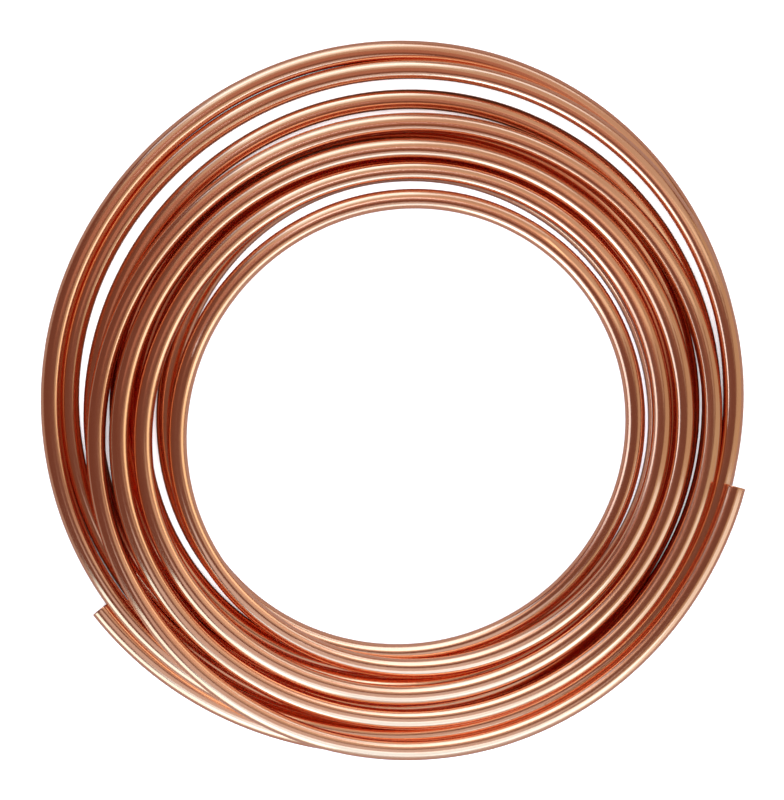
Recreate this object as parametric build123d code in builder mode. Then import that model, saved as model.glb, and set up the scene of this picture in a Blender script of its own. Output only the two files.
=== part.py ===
from build123d import *
import math
import os

# Copper tube coil, lying flat: one length of soft tube wound into a lower layer
# on the floor and an upper layer that leans across it, with a round eye in the
# middle and both cut ends outside. mm, +Z up, floor at z = 0.

# tube
tube_od = 15.88
tube_wall = 0.89

# The turns are crowded on one side and loose on the other, along one line
# through the winding centre. Each half turn is turned about its own axis on
# that line, so the half turns meet without a kink.
centre_x = 3.8
centre_y = -8.9
tight_deg = 300.0

# heights of the two layers' centre planes at the winding centre, and how far the
# upper layer leans: it is highest on the crowded side
lower_z = tube_od / 2
upper_z = 28.7
upper_lean_deg = 1.33

# distances of the turns from the winding centre where they cross the line
upper_tight = [268.4, 246.1, 226.7, 208.0, 188.6]
upper_loose = [227.5, 208.8, 190.6, 166.7]
lower_tight = [260.4, 244.1, 227.7, 211.4, 195.0]
lower_loose = [285.0, 267.6, 243.0, 214.4, 186.6]

# the two free ends: a bent run, then a straight one up to the cut
upper_tail_radius = 285.1
upper_tail_deg = 39.5
lower_tail_radius = 288.5
lower_tail_deg = 75.5
straight_end = 26.0

# the joined middle between the two layers, and the eye through it
web_bottom = 12.0
web_below_upper = 4.5
web_outer_radius = 245.0
web_outer_shift = 19.0
eye_radius = 169.3
eye_shift = 10.95
eye_side = -4.4
eye_top = 19.5
eye_relief = 2.5

tube_id = tube_od - 2 * tube_wall
ux = math.cos(math.radians(tight_deg))
uy = math.sin(math.radians(tight_deg))
side = (-uy, ux, 0)


def leaning(z, lean):
    """The upright plane along the line: local x leans up to the tight side by lean."""
    return Plane(
        origin=(centre_x, centre_y, z),
        x_dir=(ux * math.cos(lean), uy * math.cos(lean), math.sin(lean)),
        z_dir=(uy, -ux, 0),
    )


def point(plane, shift):
    """A point on a plane's local x."""
    return plane.from_local_coords((shift, 0, 0))


def axis_at(plane, shift):
    """The axis a half turn is turned about: along the plane's local y."""
    return Axis(point(plane, shift), plane.y_dir)


def tail_end(plane, radius, start, turn_deg):
    """The plane square across a tail where its straight end begins."""
    a = math.radians(turn_deg)
    way = 1 if turn_deg > 0 else -1
    out, along = plane.x_dir, Vector(*side)
    centre = point(plane, start - radius)
    return Plane(
        origin=centre + out * (radius * math.cos(a)) + along * (radius * math.sin(a)),
        z_dir=(along * math.cos(a) - out * math.sin(a)) * way,
    )


low = leaning(lower_z, 0.0)
high = leaning(upper_z, math.radians(upper_lean_deg))

# the half turn that comes down from the upper layer's inner end to the lower layer's
down_from = point(high, upper_tight[-1])
down_to = point(low, -lower_loose[-1])
drop = down_from - down_to
drop_lean = math.asin(drop.Z / drop.length)
drop_plane = Plane(
    origin=(down_from + down_to) * 0.5,
    x_dir=(ux * math.cos(drop_lean), uy * math.cos(drop_lean), math.sin(drop_lean)),
    z_dir=(uy, -ux, 0),
)

# every half turn as (its plane, where it starts on local x, where it ends, way round)
half_turns = []
for i in range(len(upper_loose)):
    half_turns.append((high, upper_tight[i], -upper_loose[i], -180))
    half_turns.append((high, -upper_loose[i], upper_tight[i + 1], -180))
half_turns.append((drop_plane, drop.length / 2, -drop.length / 2, -180))
for i in range(len(lower_loose)):
    half_turns.append((low, lower_tight[i], -lower_loose[i], 180))
    if i + 1 < len(lower_tight):
        half_turns.append((low, -lower_loose[i], lower_tight[i + 1], 180))

with BuildPart() as copper_tube:
    # middle, between the two layers, with the eye through it
    with BuildSketch(Plane.XY.offset(web_bottom)):
        with Locations(point(low, web_outer_shift)):
            Circle(web_outer_radius)
    extrude(amount=60)
    split(
        bisect_by=Plane(
            origin=point(high, 0) - high.y_dir * web_below_upper,
            x_dir=side,
            z_dir=high.y_dir,
        ),
        keep=Keep.BOTTOM,
    )
    eye = point(low, eye_shift) + Vector(*side) * eye_side
    for radius, bottom in ((eye_radius, 0.0), (eye_radius + eye_relief, eye_top)):
        with BuildSketch(Plane.XY.offset(bottom)):
            with Locations((eye.X, eye.Y)):
                Circle(radius)
        extrude(amount=60, mode=Mode.SUBTRACT)

    # the turns, from the upper tail inwards and out again to the lower tail
    for plane, start, stop, turn_deg in half_turns:
        with BuildSketch(plane):
            with Locations((start, 0)):
                Circle(tube_od / 2)
        revolve(axis=axis_at(plane, (start + stop) / 2), revolution_arc=turn_deg)

    # tails: outside first, then their bores
    for plane, radius, start, turn_deg in (
        (high, upper_tail_radius, upper_tight[0], upper_tail_deg),
        (low, lower_tail_radius, lower_tight[0], -lower_tail_deg),
    ):
        for size, mode in ((tube_od, Mode.ADD), (tube_id, Mode.SUBTRACT)):
            with BuildSketch(plane):
                with Locations((start, 0)):
                    Circle(size / 2)
            revolve(
                axis=axis_at(plane, start - radius), revolution_arc=turn_deg, mode=mode
            )
            with BuildSketch(tail_end(plane, radius, start, turn_deg)):
                Circle(size / 2)
            extrude(amount=straight_end, mode=mode)

copper_tube.part.label = "copper_tube"

os.makedirs("parts", exist_ok=True)
export_step(copper_tube.part, "parts/copper_tube.step")
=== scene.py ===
import math

import bpy
import numpy as np
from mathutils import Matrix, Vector


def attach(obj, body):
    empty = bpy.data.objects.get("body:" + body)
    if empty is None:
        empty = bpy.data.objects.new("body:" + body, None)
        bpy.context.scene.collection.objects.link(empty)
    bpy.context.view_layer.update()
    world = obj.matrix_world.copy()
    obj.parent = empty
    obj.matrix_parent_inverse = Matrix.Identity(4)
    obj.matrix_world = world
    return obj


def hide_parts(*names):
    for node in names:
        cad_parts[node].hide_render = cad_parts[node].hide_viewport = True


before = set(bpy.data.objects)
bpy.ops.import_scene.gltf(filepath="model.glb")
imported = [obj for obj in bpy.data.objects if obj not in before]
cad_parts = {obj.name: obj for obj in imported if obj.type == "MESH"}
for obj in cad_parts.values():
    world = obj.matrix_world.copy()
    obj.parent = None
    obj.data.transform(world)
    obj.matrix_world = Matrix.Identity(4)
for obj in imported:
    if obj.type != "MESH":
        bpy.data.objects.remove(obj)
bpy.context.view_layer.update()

scene = bpy.context.scene

# ---------------------------------------------------------------- dimensions, mm
TUBE_R = 7.94
WALL = 0.89
CENTRE = (3.8, -8.9)
START_DEG = 347.5
SWEEP_DEG = 3734.2

# The tube's centre line, from the upper cut end inwards, down to the floor and out
# again to the lower cut end: distance from CENTRE and height, at even steps of angle.
RADIUS = [
    272.6, 270.0, 269.4, 269.5, 269.4, 268.5, 266.4, 263.0, 258.5, 253.2, 247.4, 241.4,
    235.9, 231.4, 228.2, 226.9, 227.3, 229.3, 232.7, 236.8, 240.9, 244.4, 246.9, 247.9,
    247.5, 246.7, 246.5, 246.2, 245.4, 244.0, 242.3, 240.5, 237.7, 233.3, 227.9, 222.1,
    216.9, 212.5, 209.6, 208.1, 208.2, 209.7, 212.4, 215.9, 219.4, 222.4, 224.6, 225.8,
    226.2, 226.0, 225.6, 225.3, 225.0, 224.6, 223.6, 221.7, 218.6, 214.3, 208.8, 202.8,
    197.1, 192.6, 189.9, 189.1, 189.9, 192.1, 195.2, 198.6, 201.9, 204.7, 206.7, 207.9,
    208.4, 208.4, 207.9, 206.9, 205.3, 203.1, 200.3, 196.5, 191.9, 186.6, 180.8, 175.2,
    170.5, 167.2, 165.5, 165.4, 166.9, 169.5, 172.9, 176.4, 179.8, 182.7, 185.1, 186.9,
    188.2, 189.1, 190.0, 190.8, 191.8, 192.6, 193.1, 192.9, 191.6, 189.6, 187.4, 185.8,
    185.0, 185.1, 186.1, 187.7, 189.7, 191.9, 194.3, 196.7, 199.2, 201.6, 203.9, 205.7,
    206.1, 205.4, 204.7, 204.8, 206.0, 208.1, 210.4, 211.7, 211.3, 210.0, 208.6, 207.3,
    206.1, 205.0, 204.2, 204.3, 205.5, 207.6, 210.1, 212.4, 214.3, 215.4, 215.9, 215.9,
    215.9, 216.1, 216.5, 217.3, 218.2, 219.2, 220.2, 221.1, 221.9, 222.6, 223.1, 223.5,
    223.8, 223.9, 224.1, 224.3, 224.9, 226.2, 228.4, 230.8, 232.3, 232.3, 231.2, 230.0,
    229.3, 229.8, 231.5, 233.7, 235.3, 235.8, 235.6, 236.2, 239.0, 242.8, 244.2, 243.7,
    243.0, 243.1, 244.0, 245.7, 247.8, 249.9, 251.3, 251.8, 251.4, 250.2, 248.7, 247.3,
    246.1, 245.4, 245.2, 245.4, 246.1, 247.2, 249.0, 251.5, 254.6, 258.3, 261.9, 264.7,
    266.3, 267.1, 268.1, 269.7, 271.9, 273.9, 275.0, 274.7, 272.8, 269.6, 266.0, 262.5,
    259.7, 257.9, 257.2, 257.2, 257.4, 258.4, 261.4, 266.2, 270.8, 274.2, 276.9, 279.2,
    281.0, 282.5, 284.4, 286.4, 287.7, 287.6, 285.6, 281.5, 275.9, 270.2, 265.8, 263.2,
    262.3, 262.2, 262.5, 263.0, 264.3, 267.4, 272.5, 278.8, 285.3,
]
HEIGHT = [
    34.9, 34.5, 33.3, 32.3, 32.3, 33.4, 34.9, 34.8, 32.8, 29.3, 26.4, 24.2,
    22.5, 22.2, 23.0, 23.4, 23.4, 23.2, 22.6, 21.9, 21.4, 22.2, 23.9, 26.8,
    30.6, 33.1, 34.0, 33.9, 33.0, 33.0, 32.6, 31.3, 30.9, 31.3, 30.3, 28.1,
    25.3, 23.7, 23.2, 23.9, 25.6, 26.8, 26.9, 26.7, 27.4, 28.9, 30.7, 31.9,
    32.3, 33.1, 34.1, 34.3, 34.4, 35.8, 37.0, 36.9, 35.5, 32.9, 29.3, 26.2,
    24.2, 23.3, 23.3, 23.6, 23.7, 23.7, 23.7, 23.9, 25.2, 27.5, 30.7, 33.4,
    35.0, 35.5, 34.8, 33.0, 30.1, 27.1, 25.0, 24.0, 23.7, 23.4, 22.3, 21.6,
    21.7, 21.9, 22.1, 22.4, 22.9, 23.5, 24.1, 24.7, 25.3, 26.0, 26.8, 26.8,
    25.9, 24.0, 21.4, 18.3, 15.4, 12.5, 10.0, 8.5, 8.0, 8.0, 8.0, 8.0,
    8.0, 8.0, 8.0, 8.0, 8.0, 8.0, 8.0, 8.0, 8.0, 8.0, 8.0, 8.0,
    8.0, 8.0, 8.0, 8.0, 8.0, 8.0, 8.0, 8.0, 8.0, 8.0, 8.0, 8.0,
    8.0, 8.0, 8.1, 9.0, 10.7, 11.5, 11.4, 11.8, 13.4, 15.9, 18.4, 20.0,
    20.5, 21.2, 21.4, 20.4, 19.8, 20.3, 21.1, 20.8, 19.5, 17.2, 13.8, 10.6,
    8.6, 8.0, 8.0, 8.0, 8.0, 8.0, 8.0, 8.0, 8.0, 8.0, 8.0, 8.2,
    9.7, 12.6, 16.2, 18.6, 19.6, 19.1, 17.2, 14.8, 13.6, 12.0, 9.5, 8.1,
    8.0, 8.0, 8.0, 8.0, 8.0, 8.0, 8.0, 8.0, 8.0, 8.0, 8.0, 8.0,
    8.0, 8.0, 8.0, 8.0, 8.0, 8.0, 8.0, 8.0, 8.0, 8.0, 8.0, 8.0,
    8.0, 8.0, 8.0, 8.7, 11.3, 15.5, 19.4, 21.9, 23.3, 23.7, 23.7, 23.7,
    23.5, 23.2, 22.9, 22.7, 22.2, 21.1, 19.7, 18.2, 15.7, 13.8, 13.9, 14.6,
    14.0, 11.7, 8.9, 8.0, 8.0, 8.0, 8.0, 8.0, 8.0, 8.0, 8.0, 8.0,
    8.0, 8.0, 8.0, 8.0, 8.0, 8.0, 8.0, 8.0, 8.0,
]

RINGS = 2400
SIDES = 32
BORE_RINGS = 400
STRIPS = 16


# ---------------------------------------------------------------- centre line
def smooth_curve(values, at):
    """A natural cubic spline through evenly spaced values, read at 0..1."""
    y = np.asarray(values, float)
    n = len(y)
    m = np.zeros((n, n))
    rhs = np.zeros(n)
    m[0, 0] = m[-1, -1] = 1.0
    for i in range(1, n - 1):
        m[i, i - 1 : i + 2] = (1.0, 4.0, 1.0)
        rhs[i] = 6.0 * (y[i + 1] - 2.0 * y[i] + y[i - 1])
    bend = np.linalg.solve(m, rhs)
    t = np.clip(at, 0.0, 1.0) * (n - 1)
    k = np.minimum(t.astype(int), n - 2)
    f = t - k
    g = 1.0 - f
    return (
        g * y[k]
        + f * y[k + 1]
        + ((g**3 - g) * bend[k] + (f**3 - f) * bend[k + 1]) / 6.0
    )


def line_at(t):
    a = np.radians(START_DEG - SWEEP_DEG * t)
    r = smooth_curve(RADIUS, t)
    z = np.maximum(smooth_curve(HEIGHT, t), TUBE_R)
    return np.stack([CENTRE[0] + r * np.cos(a), CENTRE[1] + r * np.sin(a), z], 1)


fine = np.linspace(0.0, 1.0, 60001)
fine_points = line_at(fine)
fine_run = np.concatenate(
    [[0.0], np.cumsum(np.linalg.norm(np.diff(fine_points, axis=0), axis=1))]
)
LENGTH = fine_run[-1]


def place_at(run):
    """Centre points, the level sideways direction and the upward one, at runs along the tube."""
    t = np.interp(run, fine_run, fine)
    p = line_at(t)
    step = 1e-5
    ahead = line_at(np.minimum(t + step, 1.0)) - line_at(np.maximum(t - step, 0.0))
    ahead /= np.linalg.norm(ahead, axis=1)[:, None]
    out = np.cross(ahead, (0.0, 0.0, 1.0))
    out /= np.linalg.norm(out, axis=1)[:, None]
    out *= -1.0
    up = np.cross(ahead, out)
    up *= np.sign(up[:, 2])[:, None]
    return p, out, up


# ---------------------------------------------------------------- the tube
EDGE = np.array([0.0, 0.12, 0.35, 0.8, 1.6])
EDGE_IN = np.array([0.34, 0.2, 0.1, 0.03, 0.0])
BORE_EDGE = np.array([0.0, 0.3, 0.9])
BORE_IN = np.array([0.3, 0.1, 0.0])


def runs_of(count, edge):
    middle = np.linspace(edge[-1], LENGTH - edge[-1], count)
    return np.concatenate([edge[:-1], middle, (LENGTH - edge[:-1])[::-1]])


def wall(run, radius):
    """Points of a wall of the tube and where they would be if the tube were straight."""
    p, out, up = place_at(run)
    a = np.linspace(0.0, 2.0 * math.pi, SIDES, endpoint=False)
    c, s = np.cos(a)[None, :, None], np.sin(a)[None, :, None]
    r = radius[:, None, None]
    at = p[:, None] + r * (c * out[:, None] + s * up[:, None])
    straight = np.concatenate(
        [r * c, r * s, np.broadcast_to(run[:, None, None], (len(run), SIDES, 1))], 2
    )
    return at.reshape(-1, 3), straight.reshape(-1, 3)


def strip_quads(rows, first, flip):
    i, j = np.meshgrid(np.arange(rows - 1), np.arange(SIDES), indexing="ij")
    n = (j + 1) % SIDES
    a, b = first + i * SIDES + j, first + i * SIDES + n
    c, d = first + (i + 1) * SIDES + n, first + (i + 1) * SIDES + j
    quads = np.stack([a, b, c, d] if not flip else [a, d, c, b], -1)
    corners_i = np.stack([i, i, i + 1, i + 1] if not flip else [i, i + 1, i + 1, i], -1)
    corners_j = np.stack([j, j + 1, j + 1, j] if not flip else [j, j, j + 1, j + 1], -1)
    return quads.reshape(-1, 4), corners_i.reshape(-1, 4), corners_j.reshape(-1, 4)


outer_run = runs_of(RINGS, EDGE)
outer_radius = np.full(len(outer_run), TUBE_R)
outer_radius[: len(EDGE)] -= EDGE_IN
outer_radius[-len(EDGE) :] -= EDGE_IN[::-1]
bore_run = runs_of(BORE_RINGS, BORE_EDGE)
bore_radius = np.full(len(bore_run), TUBE_R - WALL)
bore_radius[: len(BORE_EDGE)] -= BORE_IN
bore_radius[-len(BORE_EDGE) :] -= BORE_IN[::-1]

outer_at, outer_straight = wall(outer_run, outer_radius)
bore_at, bore_straight = wall(bore_run, bore_radius)
points = np.concatenate([outer_at, bore_at]) * 0.001
straight = np.concatenate([outer_straight, bore_straight]) * 0.001
first_bore = len(outer_at)

outer_q, outer_i, outer_j = strip_quads(len(outer_run), 0, False)
bore_q, bore_i, bore_j = strip_quads(len(bore_run), first_bore, True)
j = np.arange(SIDES)
n = (j + 1) % SIDES
near = np.stack([j, first_bore + j, first_bore + n, n], -1)
last_o, last_b = first_bore - SIDES, len(points) - SIDES
far = np.stack([last_o + j, last_o + n, last_b + n, last_b + j], -1)
quads = np.concatenate([outer_q, bore_q, near, far])

# the outside's faces point outwards
probe = quads[SIDES * 50]
face_way = np.cross(
    points[probe[1]] - points[probe[0]], points[probe[3]] - points[probe[0]]
)
axis_point = line_at(np.array([np.interp(outer_run[50], fine_run, fine)]))[0] * 0.001
if np.dot(face_way, points[probe[0]] - axis_point) < 0:
    quads = quads[:, ::-1]
    outer_i, outer_j = outer_i[:, ::-1], outer_j[:, ::-1]
    bore_i, bore_j = bore_i[:, ::-1], bore_j[:, ::-1]

mesh = bpy.data.meshes.new("coiled_tube")
mesh.vertices.add(len(points))
mesh.vertices.foreach_set("co", points.astype(np.float32).ravel())
mesh.loops.add(quads.size)
mesh.loops.foreach_set("vertex_index", quads.astype(np.int32).ravel())
mesh.polygons.add(len(quads))
mesh.polygons.foreach_set("loop_start", np.arange(0, quads.size, 4, dtype=np.int32))
mesh.polygons.foreach_set(
    "material_index",
    np.concatenate(
        [np.zeros(len(outer_q)), np.ones(len(bore_q) + 2 * SIDES)]
    ).astype(np.int32),
)
mesh.polygons.foreach_set("use_smooth", np.ones(len(quads), dtype=bool))

run_attr = mesh.attributes.new("run", "FLOAT_VECTOR", "POINT")
run_attr.data.foreach_set("vector", straight.astype(np.float32).ravel())

# a flat layout of the wall: the outside in even strips, then the bore and the cut faces
uv = np.zeros((len(quads), 4, 2))
per = (len(outer_run) - 1) / STRIPS
strip = np.minimum((outer_i.min(1) / per).astype(int), STRIPS - 1)
rows = STRIPS + 1
uv[: len(outer_q), :, 0] = 0.003 + 0.994 * (outer_i / per - strip[:, None]).clip(0, 1.02) / 1.02
uv[: len(outer_q), :, 1] = (strip[:, None] + 0.04 + 0.92 * outer_j / SIDES) / rows
b0, b1 = len(outer_q), len(outer_q) + len(bore_q)
uv[b0:b1, :, 0] = 0.003 + 0.93 * bore_i / (len(bore_run) - 1)
uv[b0:b1, :, 1] = (STRIPS + 0.04 + 0.92 * bore_j / SIDES) / rows
for k, ring in enumerate((near, far)):
    around = np.stack([j, j, j + 1, j + 1] if k == 0 else [j, j + 1, j + 1, j], -1)
    across = np.array([0, 1, 1, 0] if k == 0 else [0, 0, 1, 1])[None]
    if np.dot(face_way, points[probe[0]] - axis_point) < 0:
        around, across = around[:, ::-1], across[:, ::-1]
    s = slice(b1 + k * SIDES, b1 + (k + 1) * SIDES)
    uv[s, :, 0] = 0.945 + 0.027 * k + 0.018 * across
    uv[s, :, 1] = (STRIPS + 0.04 + 0.92 * around / SIDES) / rows
layer = mesh.uv_layers.new(name="OFBake")
layer.uv.foreach_set("vector", uv.astype(np.float32).ravel())

mesh.update(calc_edges=True)
mesh.validate()
mesh.set_sharp_from_angle(angle=math.radians(38))
tube = bpy.data.objects.new("coiled_tube", mesh)
scene.collection.objects.link(tube)


# ---------------------------------------------------------------- materials
def material(name):
    m = bpy.data.materials.new(name)
    m.use_nodes = True
    nodes, links = m.node_tree.nodes, m.node_tree.links
    nodes.clear()
    out = nodes.new("ShaderNodeOutputMaterial")
    shader = nodes.new("ShaderNodeBsdfPrincipled")
    links.new(shader.outputs["BSDF"], out.inputs["Surface"])
    return m, nodes, links, shader


def noise(nodes, links, source, scale, detail=3.0, rough=0.55):
    """Noise over the straightened tube; scale is per metre round and along it."""
    place = nodes.new("ShaderNodeMapping")
    place.inputs["Scale"].default_value = scale
    links.new(source, place.inputs["Vector"])
    tex = nodes.new("ShaderNodeTexNoise")
    tex.inputs["Scale"].default_value = 1.0
    tex.inputs["Detail"].default_value = detail
    tex.inputs["Roughness"].default_value = rough
    links.new(place.outputs["Vector"], tex.inputs["Vector"])
    return tex.outputs["Fac"]


def ramp(nodes, links, fac, stops):
    r = nodes.new("ShaderNodeValToRGB")
    e = r.color_ramp.elements
    while len(e) < len(stops):
        e.new(0.5)
    for k, (pos, col) in enumerate(stops):
        e[k].position = pos
        e[k].color = (*col, 1.0)
    links.new(fac, r.inputs["Fac"])
    return r.outputs["Color"]


def spread(nodes, links, fac, a0, a1, b0, b1):
    r = nodes.new("ShaderNodeMapRange")
    r.inputs["From Min"].default_value = a0
    r.inputs["From Max"].default_value = a1
    r.inputs["To Min"].default_value = b0
    r.inputs["To Max"].default_value = b1
    links.new(fac, r.inputs["Value"])
    return r.outputs["Result"]


def math_node(nodes, links, kind, a, b):
    m = nodes.new("ShaderNodeMath")
    m.operation = kind
    for socket, value in zip(m.inputs, (a, b)):
        if isinstance(value, (int, float)):
            socket.default_value = value
        else:
            links.new(value, socket)
    return m.outputs["Value"]


def blend(nodes, links, kind, fac, a, b):
    m = nodes.new("ShaderNodeMix")
    m.data_type = "RGBA"
    m.blend_type = kind
    if isinstance(fac, (int, float)):
        m.inputs["Factor"].default_value = fac
    else:
        links.new(fac, m.inputs["Factor"])
    for socket, value in ((m.inputs["A"], a), (m.inputs["B"], b)):
        if isinstance(value, tuple):
            socket.default_value = (*value, 1.0)
        else:
            links.new(value, socket)
    return m.outputs["Result"]


copper, nodes, links, shader = material("bright_drawn_copper")
run = nodes.new("ShaderNodeAttribute")
run.attribute_name = "run"
run = run.outputs["Vector"]
lines = noise(nodes, links, run, (900.0, 900.0, 5.0), 4.0, 0.6)
hairs = noise(nodes, links, run, (2600.0, 2600.0, 22.0), 2.0, 0.5)
patches = noise(nodes, links, run, (70.0, 70.0, 9.0), 5.0, 0.6)
clouds = noise(nodes, links, run, (25.0, 25.0, 2.2), 3.0, 0.5)
ripples = noise(nodes, links, run, (55.0, 55.0, 26.0), 2.0, 0.5)
colour = ramp(
    nodes, links, patches,
    [(0.30, (0.875, 0.445, 0.26)), (0.52, (0.905, 0.49, 0.30)), (0.72, (0.93, 0.535, 0.34))],
)
toned = ramp(nodes, links, clouds, [(0.35, (0.98, 0.91, 0.89)), (0.65, (1.0, 1.0, 1.0))])
colour = blend(nodes, links, "MULTIPLY", 1.0, colour, toned)
drawn = ramp(nodes, links, lines, [(0.30, (0.96, 0.86, 0.82)), (0.50, (1.0, 1.0, 1.0))])
colour = blend(nodes, links, "MULTIPLY", 0.6, colour, drawn)
links.new(colour, shader.inputs["Base Color"])
shader.inputs["Metallic"].default_value = 1.0
rough = math_node(
    nodes, links, "ADD",
    spread(nodes, links, patches, 0.3, 0.7, 0.19, 0.14),
    spread(nodes, links, lines, 0.35, 0.65, 0.05, 0.0),
)
links.new(rough, shader.inputs["Roughness"])
relief = nodes.new("ShaderNodeBump")
relief.inputs["Strength"].default_value = 0.2
relief.inputs["Distance"].default_value = 0.00004
links.new(math_node(nodes, links, "ADD", lines, math_node(nodes, links, "MULTIPLY", hairs, 0.4)), relief.inputs["Height"])
waves = nodes.new("ShaderNodeBump")
waves.inputs["Strength"].default_value = 0.25
waves.inputs["Distance"].default_value = 0.0006
links.new(ripples, waves.inputs["Height"])
links.new(relief.outputs["Normal"], waves.inputs["Normal"])
links.new(waves.outputs["Normal"], shader.inputs["Normal"])

cut, nodes, links, shader = material("cut_copper")
run = nodes.new("ShaderNodeAttribute")
run.attribute_name = "run"
run = run.outputs["Vector"]
dull = noise(nodes, links, run, (500.0, 500.0, 40.0), 3.0, 0.6)
links.new(
    ramp(nodes, links, dull, [(0.3, (0.62, 0.27, 0.17)), (0.7, (0.84, 0.42, 0.29))]),
    shader.inputs["Base Color"],
)
shader.inputs["Metallic"].default_value = 1.0
links.new(spread(nodes, links, dull, 0.3, 0.7, 0.42, 0.28), shader.inputs["Roughness"])

mesh.materials.append(copper)
mesh.materials.append(cut)

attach(tube, "root")
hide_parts("copper_tube")

# ---------------------------------------------------------------- floor, light, camera
floor_mesh = bpy.data.meshes.new("floor")
h = 20.0
floor_mesh.from_pydata([(-h, -h, 0), (h, -h, 0), (h, h, 0), (-h, h, 0)], [], [(0, 1, 2, 3)])
floor = bpy.data.objects.new("floor", floor_mesh)
scene.collection.objects.link(floor)
white, nodes, links, shader = material("pale_floor")
shader.inputs["Roughness"].default_value = 0.9
shader.inputs["Specular IOR Level"].default_value = 0.1
shader.inputs["Emission Color"].default_value = (1.0, 1.0, 1.0, 1.0)
# pale itself, but mirrored in the tube no brighter than the room
seen = nodes.new("ShaderNodeLightPath")
links.new(
    ramp(nodes, links, seen.outputs["Is Camera Ray"], [(0.0, (0.23, 0.19, 0.185)), (1.0, (0.86, 0.84, 0.87))]),
    shader.inputs["Base Color"],
)
links.new(
    spread(nodes, links, seen.outputs["Is Camera Ray"], 0.0, 1.0, 0.0, 0.3),
    shader.inputs["Emission Strength"],
)
floor_mesh.materials.append(white)


def softbox(name, centre, aim, wide, tall, radiance):
    """A soft panel at centre, turned to the point aim near the floor."""
    light = bpy.data.lights.new(name, "AREA")
    light.shape = "RECTANGLE"
    light.size = wide
    light.size_y = tall
    peak = max(radiance)
    light.energy = peak * math.pi * wide * tall
    light.color = [v / peak for v in radiance]
    box = bpy.data.objects.new(name, light)
    box.location = centre
    way = Vector((aim[0], aim[1], 0.02)) - Vector(centre)
    box.rotation_euler = way.to_track_quat("-Z", "Y").to_euler()
    box.visible_camera = False
    scene.collection.objects.link(box)
    return box


softbox("light_top", (-0.24, 0.92, 0.27), (0.24, 0.26), 0.60, 1.05, (0.50, 0.92, 1.25))
softbox("light_top_low", (-0.15, 2.16, 1.01), (0.05, 0.17), 3.4, 0.55, (0.62, 1.15, 1.8))
softbox("light_top_soft", (0.0, 1.56, 1.53), (-0.88, -0.79), 3.6, 2.9, (0.40, 0.45, 0.41))
softbox("light_inner", (-0.04, 0.21, 0.44), (-0.12, -5.4), 0.20, 0.25, (1.3, 1.9, 2.6))
softbox("light_bottom", (0.07, -0.59, 0.28), (0.07, -0.48), 0.90, 0.40, (0.88, 1.65, 2.4))
softbox("light_bottom_left", (-1.17, -1.76, 0.38), (1.28, 0.56), 1.9, 1.7, (1.25, 2.3, 3.0))
softbox("light_bottom_right", (0.15, -1.8, 0.2), (-1.0, -1.2), 3.5, 1.1, (0.47, 0.78, 1.06))
softbox("light_right", (1.87, 0.38, 0.52), (0.09, 1.9), 4.0, 2.4, (0.34, 0.385, 0.30))
softbox("light_over", (-0.11, -0.325, 0.45), (-0.10, -0.28), 0.58, 0.32, (0.50, 0.64, 0.76))
softbox("light_inner_left", (-0.12, -0.07, 0.17), (5.0, 1.8), 0.26, 0.18, (1.2, 1.75, 2.4))
softbox("light_inner_right", (0.13, 0.03, 0.17), (-5.0, 0.6), 0.28, 0.16, (0.78, 0.84, 0.70))
softbox("light_over_top", (-0.06, 0.21, 0.45), (-0.06, 0.20), 0.62, 0.28, (0.26, 0.17, 0.145))
softbox("light_over_right", (0.336, 0.193, 0.354), (0.23, 0.64), 0.38, 0.20, (0.4, 0.5, 0.47))

# the floor's own light, from straight above; the tube doesn't mirror it
wash_data = bpy.data.lights.new("light_floor", "SUN")
wash_data.energy = 4.2
wash_data.angle = 0.7
wash = bpy.data.objects.new("light_floor", wash_data)
wash.location = (0.0, 0.0, 3.0)
wash.visible_glossy = False
scene.collection.objects.link(wash)

world = bpy.data.worlds.new("studio")
scene.world = world
world.use_nodes = True
nodes, links = world.node_tree.nodes, world.node_tree.links
nodes.clear()
out = nodes.new("ShaderNodeOutputWorld")
room = nodes.new("ShaderNodeBackground")
room.inputs["Color"].default_value = (1.0, 0.47, 0.37, 1.0)
room.inputs["Strength"].default_value = 0.185
backdrop = nodes.new("ShaderNodeBackground")
backdrop.inputs["Color"].default_value = (1.0, 1.0, 1.0, 1.0)
backdrop.inputs["Strength"].default_value = 1.0
path = nodes.new("ShaderNodeLightPath")
pick = nodes.new("ShaderNodeMixShader")
links.new(path.outputs["Is Camera Ray"], pick.inputs["Fac"])
links.new(room.outputs["Background"], pick.inputs[1])
links.new(backdrop.outputs["Background"], pick.inputs[2])
links.new(pick.outputs["Shader"], out.inputs["Surface"])

scene.cycles.max_bounces = 32
scene.cycles.glossy_bounces = 24
scene.cycles.blur_glossy = 0.0
scene.view_settings.view_transform = "Standard"
scene.view_settings.look = "None"

# straight above, far off; the frame's 800 rows cover 635.2 mm of the coil's mid height
lens = bpy.data.cameras.new("camera")
camera = bpy.data.objects.new("camera", lens)
scene.collection.objects.link(camera)
away = 6.0
lens.sensor_fit = "AUTO"
lens.sensor_width = 36.0
lens.lens = 36.0 * away / 0.6352
lens.clip_start = 0.1
lens.clip_end = 200.0
camera.location = (-0.00255, 0.00063, 0.024 + away)
camera.rotation_euler = (0.0, 0.0, 0.0)
scene.camera = camera
